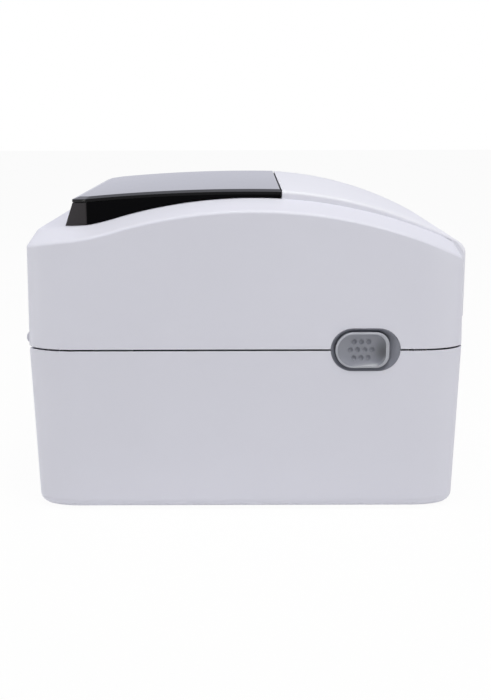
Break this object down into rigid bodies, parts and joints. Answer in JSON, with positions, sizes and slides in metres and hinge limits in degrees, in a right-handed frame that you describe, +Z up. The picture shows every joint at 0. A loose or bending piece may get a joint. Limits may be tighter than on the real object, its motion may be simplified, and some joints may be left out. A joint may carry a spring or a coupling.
{
  "type": "label printer",
  "caption": "Clamshell desktop thermal label printer with arched white lid, glossy black hood, side release tabs, platen drive, print head, roll guides and rear ports.",
  "frame": {"origin": "middle of the underside of the feet", "axes": "+Z up, -Y towards the front where labels leave, +X across the width"},
  "size_m": [0.18, 0.217, 0.16],
  "materials": {
    "case_white": "fine moulded white ABS",
    "hood_black": "black ABS, satin",
    "panel_gloss": "polished black polycarbonate",
    "cup_grey": "dark grey ABS",
    "tab_grey": "mid grey ABS",
    "tray_dark": "dark grey ABS",
    "zinc_steel": "zinc plated sheet steel",
    "bright_steel": "ground steel",
    "spring_steel": "drawn spring wire",
    "roller_rubber": "ground rubber",
    "foot_rubber": "moulded rubber",
    "acetal": "natural acetal",
    "brass_pinion": "machined brass",
    "motor_black": "black lacquered stepper motor",
    "sensor_black": "black moulded sensor housing",
    "board_green": "solder masked glass epoxy board",
    "chip_black": "black epoxy packages",
    "usb_shell": "nickel plated steel",
    "jack_black": "black thermoplastic",
    "rocker_black": "black thermoplastic",
    "sink_aluminium": "extruded aluminium",
    "glazed_ceramic": "glazed alumina ceramic",
    "light_clear": "clear acrylic"
  },
  "bodies": {
    "base": {"base_shell": "case_white", "hinge_blocks": "case_white", "latch_cup_left": "cup_grey", "latch_cup_right": "cup_grey", "media_tray": "tray_dark", "exit_lip": "tray_dark", "chassis_left": "zinc_steel", "chassis_right": "zinc_steel", "hinge_pins": "bright_steel", "idler_stud": "bright_steel", "guide_post": "bright_steel", "base_screws": "bright_steel", "motor_screws": "bright_steel", "tab_spring_left": "spring_steel", "tab_spring_right": "spring_steel", "rubber_feet": "foot_rubber", "platen_bushes": "acetal", "stepper_motor": "motor_black", "label_sensor": "sensor_black", "lid_sensor": "sensor_black", "main_board": "board_green", "board_chips": "chip_black", "usb_port": "usb_shell", "dc_jack": "jack_black", "port_plate": "jack_black", "switch_housing": "jack_black"},
    "print_head": {"head_bracket": "zinc_steel", "heat_sink": "sink_aluminium", "thermal_head": "glazed_ceramic"},
    "release_tab_left": {"release_tab_left": "tab_grey"},
    "release_tab_right": {"release_tab_right": "tab_grey"},
    "platen": {"platen_shaft": "bright_steel", "platen_rubber": "roller_rubber", "platen_gear": "acetal"},
    "idler": {"idler_gear": "acetal"},
    "motor_rotor": {"motor_pinion": "brass_pinion"},
    "guide_left": {"roll_guide_left": "tray_dark"},
    "guide_right": {"roll_guide_right": "tray_dark"},
    "guide_gear": {"guide_pinion": "acetal"},
    "feed_button": {"feed_button": "tab_grey"},
    "power_rocker": {"power_rocker": "rocker_black"},
    "lid": {"lid_shell": "case_white", "hood_frame": "hood_black", "window_panel": "panel_gloss", "front_band": "case_white", "lid_hinge_arms": "case_white", "lid_liner": "tray_dark", "liner_screws": "bright_steel", "tear_bar": "bright_steel", "head_rod": "bright_steel", "head_springs": "spring_steel", "gap_sensor": "sensor_black", "button_board": "board_green", "light_pipe": "light_clear"}
  },
  "joints": [
    {"name": "lid_hinge", "type": "hinge", "parent": "base", "child": "lid", "pos_m": [0, 0.105, 0.088], "axis": [-1, 0, 0], "range_deg": [0, 78]},
    {"name": "head_pivot", "type": "hinge", "parent": "lid", "child": "print_head", "pos_m": [0, -0.06, 0.1004], "axis": [-1, 0, 0], "range_deg": [0, 4], "stiffness_Nm_per_rad": 2.6, "springref_deg": -5.73, "deforming": ["head_springs"]},
    {"name": "tab_left_slide", "type": "slide", "parent": "base", "child": "release_tab_left", "axis": [0, -1, 0], "range_m": [0, 0.0035], "stiffness_N_per_m": 400, "springref_m": -0.003, "deforming": ["tab_spring_left"]},
    {"name": "tab_right_slide", "type": "slide", "parent": "base", "child": "release_tab_right", "axis": [0, -1, 0], "range_m": [0, 0.0035], "stiffness_N_per_m": 400, "springref_m": -0.003, "deforming": ["tab_spring_right"]},
    {"name": "feed_button_press", "type": "slide", "parent": "lid", "child": "feed_button", "axis": [0, 1, 0], "range_m": [0, 0.001], "stiffness_N_per_m": 600, "springref_m": -0.001},
    {"name": "power_rock", "type": "hinge", "parent": "base", "child": "power_rocker", "pos_m": [-0.033, 0.1005, 0.0149], "axis": [0, 0, -1], "range_deg": [0, 12]},
    {"name": "platen_spin", "type": "hinge", "parent": "base", "child": "platen", "pos_m": [0, -0.088, 0.079], "axis": [1, 0, 0], "continuous": true},
    {"name": "idler_spin", "type": "hinge", "parent": "base", "child": "idler", "pos_m": [0, -0.07425, 0.06588], "axis": [1, 0, 0], "continuous": true},
    {"name": "motor_spin", "type": "hinge", "parent": "base", "child": "motor_rotor", "pos_m": [0, -0.0675, 0.046], "axis": [1, 0, 0], "continuous": true},
    {"name": "guide_left_slide", "type": "slide", "parent": "base", "child": "guide_left", "axis": [-1, 0, 0], "range_m": [-0.038, 0.0065]},
    {"name": "guide_right_slide", "type": "slide", "parent": "base", "child": "guide_right", "axis": [1, 0, 0], "range_m": [-0.038, 0.0065]},
    {"name": "guide_pinion_spin", "type": "hinge", "parent": "base", "child": "guide_gear", "pos_m": [0, 0.0265, 0.0253], "axis": [0, 0, 1], "range_deg": [-32, 182]}
  ],
  "couplings": [
    {"joint": "idler_spin", "follows": "platen_spin", "ratio": -1.7143},
    {"joint": "motor_spin", "follows": "platen_spin", "ratio": 3.4286},
    {"joint": "guide_right_slide", "follows": "guide_left_slide", "ratio": 1},
    {"joint": "guide_pinion_spin", "follows": "guide_left_slide", "rad_per_m": -83.333}
  ]
}
